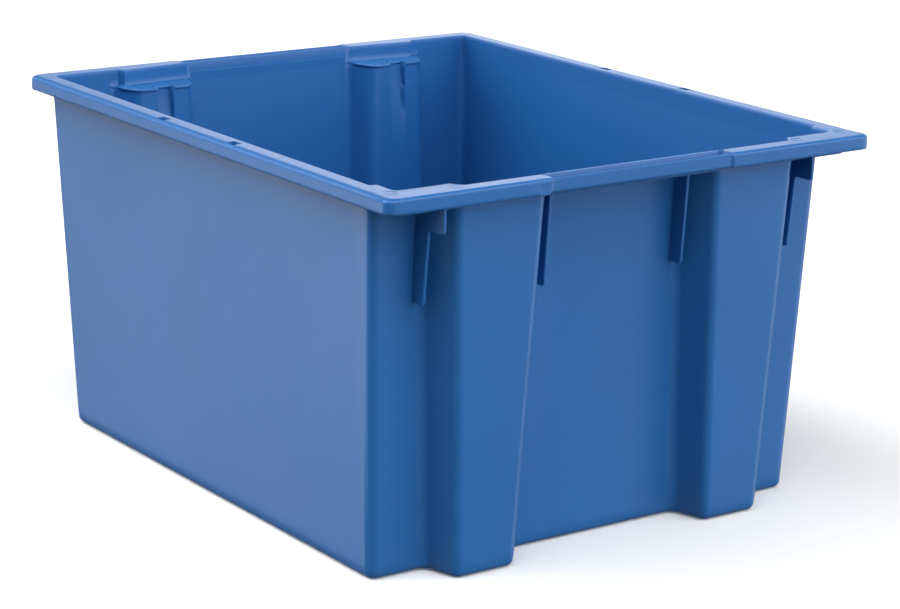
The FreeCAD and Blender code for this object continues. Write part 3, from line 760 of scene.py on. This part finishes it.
def ledge_rows():
    """The hollow round behind a ledge, its flat top and its rounded nose."""
    band = BAND_IN + BAND_SHIFT
    room = ledge_depth(band, TOP_IN)
    hollow = np.minimum(1.6, room * 0.3)[:, None]
    band_normal = normals_of(BAND_IN)
    wall_normal = normals_of(TOP_IN)
    over_pilaster = np.where(AT_END & ~AT_FRONT, window(98, 162, 3, ACROSS), 0)
    lip = LEDGE_LIP * over_pilaster
    curl = np.minimum(1.4, room * 0.3)
    beside = np.abs(ACROSS - CENTRE)
    in_notch = AT_END & ~AT_FRONT & (beside < NOTCH_HALF - 0.2)
    notch = np.column_stack([np.zeros(STATIONS), np.where(in_notch, NOTCH_DEPTH, 0)])
    side = ON_SIDE[:, None]

    def level(z_at_ledge, z_on_side):
        """A height for the ledges, and the one to use on the long sides, which have none."""
        return np.where(ON_SIDE, z_on_side, z_at_ledge)

    def nose(reach):
        """The ledge's front edge, moved towards the middle of the bin by a distance."""
        plan = TOP_IN - wall_normal * np.asarray(reach)[:, None] + notch
        return np.where(side, TOP_IN, plan)

    flush = (room < 0.05)[:, None] & ~side
    start = band - band_normal * hollow
    low_rise = hollow[:, 0] * 0.3

    def ledge_row(plan, height):
        """A row that lies on the wall wherever there is no ledge."""
        return row(np.where(flush, TOP_IN, plan), height)

    rows = [
        ledge_row(band, level(LEDGE_TOP + hollow[:, 0], LEDGE_TOP + 0.3)),
        ledge_row(band - band_normal * hollow * 0.3, level(LEDGE_TOP + low_rise, LEDGE_TOP + 0.2)),
        ledge_row(start, level(LEDGE_TOP, LEDGE_TOP + 0.1)),
    ]
    for share in (0.35, 0.7):
        plan = np.where(side, TOP_IN, mix(start, nose(lip - curl) - notch * (1 - share), share))
        rows.append(ledge_row(plan, level(LEDGE_TOP, LEDGE_TOP - 0.1)))
    rounded = ((1.0, 0), (0.5, 0.12), (0.14, 0.5), (0.0, 1.0), (0.0, 1.9), (0.14, 2.5), (0.5, 2.9))
    for reach, drop in rounded:
        plan = nose(lip - curl * reach)
        rows.append(ledge_row(plan, level(LEDGE_TOP - drop, LEDGE_TOP - 0.1 - drop)))
    return rows


def inner_wall_rows():
    """Down the inside to the round at the floor."""
    rows = [row(inner_wall(LEDGE_UNDER - 0.2), LEDGE_UNDER - 0.2)]
    for z in reversed(WALL_LEVELS):
        rows.append(row(inner_wall(z), z))
    plan = plan_at(FLOOR, True)
    normal = normals_of(plan)
    for angle in np.radians(np.linspace(75, 0, 6)):
        inward = INNER_FLOOR_ROUND * (1 - math.sin(angle))
        z = FLOOR + INNER_FLOOR_ROUND * (1 - math.cos(angle))
        rows.append(row(plan - normal * inward, z))
    rows.append(row(plan - normal * (INNER_FLOOR_ROUND + FLAT_STRIP), FLOOR))
    return rows


# ---------------------------------------------------------------- meshes

def add_mesh(name, vertices, faces):
    """A mesh object from points in millimetres."""
    mesh = bpy.data.meshes.new(name)
    mesh.from_pydata([tuple(v) for v in np.asarray(vertices) * MM], [], faces)
    mesh.update()
    piece = bpy.data.objects.new(name, mesh)
    bpy.context.scene.collection.objects.link(piece)
    return piece


def tidy(piece, merge=0.02, sharp=38):
    """Merges coincident points, drops empty faces, and shades smooth up to an angle."""
    built = bmesh.new()
    built.from_mesh(piece.data)
    bmesh.ops.remove_doubles(built, verts=built.verts, dist=merge * MM)
    bmesh.ops.dissolve_degenerate(built, edges=built.edges, dist=0.01 * MM)
    bmesh.ops.recalc_face_normals(built, faces=built.faces)
    built.to_mesh(piece.data)
    built.free()
    piece.data.shade_smooth()
    piece.data.set_sharp_from_angle(angle=math.radians(sharp))


# rows of the flange's underside and of its top that come before the first that crosses a slot
UNDER_ROWS_BEFORE_SLOT = 3
TOP_ROWS_BEFORE_SLOT = 4


def make_shell():
    """The whole moulding except its ribs, as one closed skin."""
    groups = [
        outer_wall_rows(),
        under_ledge_rows(),
        under_flange_rows(),
        skirt_rows(),
        rim_top_rows(),
        inner_edge_rows(),
        ledge_rows(),
        inner_wall_rows(),
    ]
    starts = np.cumsum([0] + [len(group) for group in groups])
    rows = [line for group in groups for line in group]
    count = len(slot_insets())
    under_first = starts[2] + UNDER_ROWS_BEFORE_SLOT
    top_first = starts[4] + TOP_ROWS_BEFORE_SLOT
    slot_rows = [first + step for first in (under_first, top_first) for step in range(count - 1)]
    in_slot = SLOT_OFF < SLOT_HALF + 0.01
    next_in_slot = np.roll(in_slot, -1)
    faces = []
    for level in range(len(rows) - 1):
        crosses = level in slot_rows
        for here in range(STATIONS):
            after = (here + 1) % STATIONS
            if crosses and in_slot[here] and next_in_slot[here]:
                continue
            low, high = level * STATIONS, (level + 1) * STATIONS
            faces.append((low + here, low + after, high + after, high + here))
    faces += slot_walls(under_first, top_first, count, in_slot)
    faces.append(tuple(range(STATIONS))[::-1])
    last = (len(rows) - 1) * STATIONS
    faces.append(tuple(range(last, last + STATIONS)))
    shell = add_mesh("moulded_shell", np.concatenate(rows), faces)
    tidy(shell)
    return shell


def slot_walls(under_first, top_first, count, in_slot):
    """The walls of the four slots, between the flange's top and its underside."""
    faces = []
    starts = [i for i in range(STATIONS) if in_slot[i] and not in_slot[i - 1]]
    for start in starts:
        end = start
        while in_slot[(end + 1) % STATIONS]:
            end += 1
        round_slot = [(s, 0) for s in range(start, end)]
        round_slot += [(end, r) for r in range(count - 1)]
        round_slot += [(s, count - 1) for s in range(end, start, -1)]
        round_slot += [(start, r) for r in range(count - 1, 0, -1)]
        for index, (station, across) in enumerate(round_slot):
            next_station, next_across = round_slot[(index + 1) % len(round_slot)]
            top = (top_first + across) * STATIONS + station
            next_top = (top_first + next_across) * STATIONS + next_station
            under = (under_first + count - 1 - across) * STATIONS + station
            next_under = (under_first + count - 1 - next_across) * STATIONS + next_station
            faces.append((top, next_top, next_under, under))
    return faces


def add_bevel(piece, width, segments):
    """Rounds the sharp edges of a piece."""
    bevel = piece.modifiers.new("edges", "BEVEL")
    bevel.width = width * MM
    bevel.segments = segments
    bevel.limit_method = "ANGLE"
    bevel.angle_limit = math.radians(25)
    bevel.harden_normals = False


def rounded_corner(reach, foot):
    """The round between a rib's lower edge and its outer edge, as (distance out, height)."""
    turns = [math.radians(degrees) for degrees in (0, 30, 60, 90)]
    return [
        (reach - RIB_ROUND * (1 - math.sin(turn)), foot + RIB_ROUND * (1 - math.cos(turn)))
        for turn in turns
    ]


def make_rib(node, wide):
    """A thin plate with rounded free edges, standing out of an end wall."""
    low, high = box_mm(node)
    way = -1 if high.y < 0 else 1
    root_level = RECESS if way < 0 else PILASTER
    draft = RECESS_DRAFT if way < 0 else PILASTER_DRAFT
    foot_z = low.z
    foot_root = root_level - draft * (LEDGE_UNDER - foot_z) / (LEDGE_UNDER - FLOOR)
    profile = [
        (foot_root - RIB_BITE, foot_z + 2),
        (foot_root + 1, foot_z + 0.4),
    ]
    profile += rounded_corner(foot_root + RIB_FOOT_REACH, foot_z)
    if wide:
        head = root_level + RIB_HEAD_REACH
        under = FLANGE_TOP - FLANGE
        shoulder = under - RIB_HEAD_HEIGHT
        profile.append((root_level + RIB_REACH, shoulder - 1.6))
        profile.append((root_level + RIB_REACH + 1.6, shoulder))
        profile += rounded_corner(head, shoulder)
        profile.append((head, under + 1))
        profile.append((END + 0.5, under + 1))
        profile.append((END + 0.5, LEDGE_UNDER + 1))
    else:
        profile.append((root_level + RIB_REACH, LEDGE_UNDER + 1))
    profile.append((root_level - RIB_BITE, LEDGE_UNDER + 1))
    vertices = [(x, way * y, z) for x in (low.x, high.x) for y, z in profile]
    count = len(profile)
    faces = [tuple(range(count)), tuple(range(2 * count - 1, count - 1, -1))]
    for i in range(count):
        j = (i + 1) % count
        faces.append((i, i + count, j + count, j))
    rib = add_mesh(node + "_plate", vertices, faces)
    add_bevel(rib, RIB_BEVEL, 3)
    tidy(rib, sharp=50)
    return rib


def make_ejector_mark(name, x, y):
    """The faint ring that an ejector pin leaves on the flange."""
    # radius of each ring, and its height from the flange's top
    rings = ((0, 0.02), (4.9, 0.02), (5.3, 0.16), (5.7, 0.16), (6.1, -0.05))
    turns = 40
    vertices = [(x, y, FLANGE_TOP + rings[0][1])]
    faces = []
    for radius, height in rings[1:]:
        for step in range(turns):
            angle = 2 * math.pi * step / turns
            place = (x + radius * math.cos(angle), y + radius * math.sin(angle), FLANGE_TOP + height)
            vertices.append(place)
    for step in range(turns):
        after = (step + 1) % turns
        faces.append((0, 1 + step, 1 + after))
        for ring_number in range(len(rings) - 2):
            a = 1 + ring_number * turns
            b = a + turns
            faces.append((a + step, b + step, b + after, a + after))
    bottom = 1 + (len(rings) - 2) * turns
    faces.append(tuple(range(bottom + turns - 1, bottom - 1, -1)))
    mark = add_mesh(name, vertices, faces)
    tidy(mark, sharp=60)
    return mark


# ---------------------------------------------------------------- material

def node(tree, kind, **inputs):
    """A shader node with some of its inputs set."""
    made = tree.nodes.new(kind)
    for name, value in inputs.items():
        made.inputs[name.replace("_", " ")].default_value = value
    return made


def polymer():
    """Semi-gloss injection-moulded polymer: faint mottling, fine grain, and convex edges painted a
    lighter blue as a highlight.
    """
    material = bpy.data.materials.new("blue_polymer")
    material.use_nodes = True
    tree = material.node_tree
    shader = tree.nodes["Principled BSDF"]
    shader.inputs["IOR"].default_value = 1.5
    shader.inputs["Specular IOR Level"].default_value = 0.5
    place = tree.nodes.new("ShaderNodeTexCoord")

    mottle = node(tree, "ShaderNodeTexNoise", Scale=7.0, Detail=4.0, Roughness=0.55)
    tree.links.new(place.outputs["Object"], mottle.inputs["Vector"])
    colour = tree.nodes.new("ShaderNodeValToRGB")
    colour.color_ramp.elements[0].position = 0.3
    colour.color_ramp.elements[0].color = (0.0150, 0.119, 0.362, 1)
    colour.color_ramp.elements[1].position = 0.7
    colour.color_ramp.elements[1].color = (0.0170, 0.131, 0.392, 1)
    tree.links.new(mottle.outputs["Fac"], colour.inputs["Fac"])

    # Painted highlight: a lighter blue is mixed in where the surface is convex (pointiness), standing in
    # for light caught along the edges.
    geometry = tree.nodes.new("ShaderNodeNewGeometry")
    painted_edge_highlight = tree.nodes.new("ShaderNodeMapRange")
    painted_edge_highlight.inputs["From Min"].default_value = 0.53
    painted_edge_highlight.inputs["From Max"].default_value = 0.62
    painted_edge_highlight.inputs["To Min"].default_value = 0.0
    painted_edge_highlight.inputs["To Max"].default_value = 0.35
    tree.links.new(geometry.outputs["Pointiness"], painted_edge_highlight.inputs["Value"])
    edge = tree.nodes.new("ShaderNodeMix")
    edge.data_type = "RGBA"
    edge.inputs[7].default_value = (0.09, 0.25, 0.62, 1)
    tree.links.new(painted_edge_highlight.outputs["Result"], edge.inputs[0])
    tree.links.new(colour.outputs["Color"], edge.inputs[6])
    tree.links.new(edge.outputs[2], shader.inputs["Base Color"])

    cloud = node(tree, "ShaderNodeTexNoise", Scale=11.0, Detail=3.0, Roughness=0.5)
    tree.links.new(place.outputs["Object"], cloud.inputs["Vector"])
    rough = tree.nodes.new("ShaderNodeMapRange")
    rough.inputs["To Min"].default_value = 0.28
    rough.inputs["To Max"].default_value = 0.38
    tree.links.new(cloud.outputs["Fac"], rough.inputs["Value"])
    tree.links.new(rough.outputs["Result"], shader.inputs["Roughness"])

    grain = node(tree, "ShaderNodeTexNoise", Scale=900.0, Detail=2.0, Roughness=0.6)
    tree.links.new(place.outputs["Object"], grain.inputs["Vector"])
    fine = node(tree, "ShaderNodeBump", Strength=0.10, Distance=0.0002)
    tree.links.new(grain.outputs["Fac"], fine.inputs["Height"])
    flow = node(tree, "ShaderNodeTexNoise", Scale=14.0, Detail=2.0, Roughness=0.4)
    tree.links.new(place.outputs["Object"], flow.inputs["Vector"])
    wave = node(tree, "ShaderNodeBump", Strength=0.25, Distance=0.002)
    tree.links.new(flow.outputs["Fac"], wave.inputs["Height"])
    tree.links.new(fine.outputs["Normal"], wave.inputs["Normal"])
    tree.links.new(wave.outputs["Normal"], shader.inputs["Normal"])
    return material


def pale_floor():
    """Matt, nearly white, and a little bright of itself."""
    material = bpy.data.materials.new("pale_floor")
    material.use_nodes = True
    tree = material.node_tree
    shader = tree.nodes["Principled BSDF"]
    shader.inputs["Base Color"].default_value = (0.9, 0.9, 0.9, 1)
    shader.inputs["Roughness"].default_value = 0.8
    shader.inputs["Specular IOR Level"].default_value = 0.2
    shader.inputs["Emission Color"].default_value = (1, 1, 1, 1)
    shader.inputs["Emission Strength"].default_value = 0.06
    return material


# ---------------------------------------------------------------- the object

rib_nodes = [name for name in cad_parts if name.endswith("_rib")]
other_nodes = [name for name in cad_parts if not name.endswith("_rib")]

blue_polymer = polymer()
shell = make_shell()
ribs = {name: make_rib(name, "front" in name and "outer" in name) for name in rib_nodes}
marks = [make_ejector_mark(f"ejector_mark_{i}", x, y) for i, (x, y) in enumerate(EJECTOR_MARKS)]

for piece in [shell, *ribs.values(), *marks]:
    piece.data.materials.append(blue_polymer)
    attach(piece, "root")
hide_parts(*other_nodes)
for name, rib in ribs.items():
    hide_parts(name)

# ---------------------------------------------------------------- studio

FLOOR_REACH = 30.0
FLOOR_DROP = 0.0005


def make_floor():
    """A wide pale floor just under the bin, which it neither mirrors nor tints."""
    mesh = bpy.data.meshes.new("studio_floor")
    corners = [(-1, -1), (1, -1), (1, 1), (-1, 1)]
    mesh.from_pydata([(x * FLOOR_REACH, y * FLOOR_REACH, 0) for x, y in corners], [], [(0, 1, 2, 3)])
    floor = bpy.data.objects.new("studio_floor", mesh)
    bpy.context.scene.collection.objects.link(floor)
    floor.location.z = -FLOOR_DROP
    floor.visible_glossy = False
    floor.visible_diffuse = False
    mesh.materials.append(pale_floor())
    return floor


SOFT_LIGHTS = [
    # azimuth from +X and height of each soft light, in degrees, and its strength, which a
    # least-squares fit to the photograph gave
    (225, 60, 7.1), (140, 35, 6.6), (180, 60, 6.6), (150, 10, 5.0), (135, 60, 4.9),
    (270, 60, 4.9), (135, 10, 4.4), (270, 10, 4.2), (160, 35, 3.9), (330, 10, 3.7),
    (300, 35, 3.7), (120, 35, 3.5), (285, 10, 3.2), (135, -14, 3.1), (330, -14, 3.1),
    (280, 35, 2.4), (260, 35, 2.0), (320, 35, 2.0), (255, 10, 1.9), (315, 10, 1.8),
    (345, 10, 1.6), (0, -14, 1.2), (315, 60, 1.2), (54, 15, 2.4), (180, 35, 1.1),
    (300, 10, 1.0), (120, -14, 0.8), (100, 35, 0.8), (30, -14, 0.4),
]
LIGHT_FOCUS = 60.0
AMBIENT = 0.14


def make_world():
    """A ring of large soft lights round the object, each fading out from its middle."""
    world = bpy.data.worlds.new("studio")
    bpy.context.scene.world = world
    world.cycles.sampling_method = "NONE"
    world.use_nodes = True
    tree = world.node_tree
    place = tree.nodes.new("ShaderNodeTexCoord")
    total = None
    for azimuth, height, strength in SOFT_LIGHTS:
        azimuth, height = math.radians(azimuth), math.radians(height)
        facing = tree.nodes.new("ShaderNodeVectorMath")
        facing.operation = "DOT_PRODUCT"
        level = math.cos(height)
        middle = (level * math.cos(azimuth), level * math.sin(azimuth), math.sin(height))
        facing.inputs[1].default_value = middle
        tree.links.new(place.outputs["Generated"], facing.inputs[0])
        ahead = calculate(tree, "MAXIMUM", facing.outputs["Value"], 0.0)
        glow = calculate(tree, "POWER", ahead, LIGHT_FOCUS)
        added = tree.nodes.new("ShaderNodeMath")
        added.operation = "MULTIPLY_ADD"
        tree.links.new(glow, added.inputs[0])
        added.inputs[1].default_value = strength
        if total is None:
            added.inputs[2].default_value = AMBIENT
        else:
            tree.links.new(total, added.inputs[2])
        total = added.outputs["Value"]
    background = tree.nodes["Background"]
    background.inputs["Color"].default_value = (1, 1, 1, 1)
    tree.links.new(total, background.inputs["Strength"])


def calculate(tree, operation, source, number):
    made = tree.nodes.new("ShaderNodeMath")
    made.operation = operation
    tree.links.new(source, made.inputs[0])
    made.inputs[1].default_value = number
    return made.outputs["Value"]


CAMERA_PLACE = (-1.3751, -1.9836, 0.7997)
CAMERA_HEADING = 35.85
CAMERA_DOWN = 15.47
CAMERA_ROLL = 1.18
CAMERA_LENS = 110.77
CAMERA_SHIFT = (-0.0366, 0.0169)


def make_camera():
    """The photograph's view: about 36 degrees round from the front end, looking 15.5 down."""
    heading = math.radians(CAMERA_HEADING)
    down = math.radians(CAMERA_DOWN)
    roll = math.radians(CAMERA_ROLL)
    ahead = math.cos(down)
    forward = Vector((math.sin(heading) * ahead, math.cos(heading) * ahead, -math.sin(down)))
    level = Vector((math.cos(heading), -math.sin(heading), 0))
    upright = level.cross(forward)
    right = level * math.cos(roll) + upright * math.sin(roll)
    up = right.cross(forward)
    data = bpy.data.cameras.new("camera")
    data.sensor_width = 36.0
    data.lens = CAMERA_LENS
    data.shift_x, data.shift_y = CAMERA_SHIFT
    camera = bpy.data.objects.new("camera", data)
    bpy.context.scene.collection.objects.link(camera)
    turn = Matrix((right, up, -forward)).transposed()
    camera.matrix_world = Matrix.Translation(CAMERA_PLACE) @ turn.to_4x4()
    bpy.context.scene.camera = camera


make_floor()
make_world()
make_camera()

bpy.context.scene.view_settings.view_transform = "Standard"
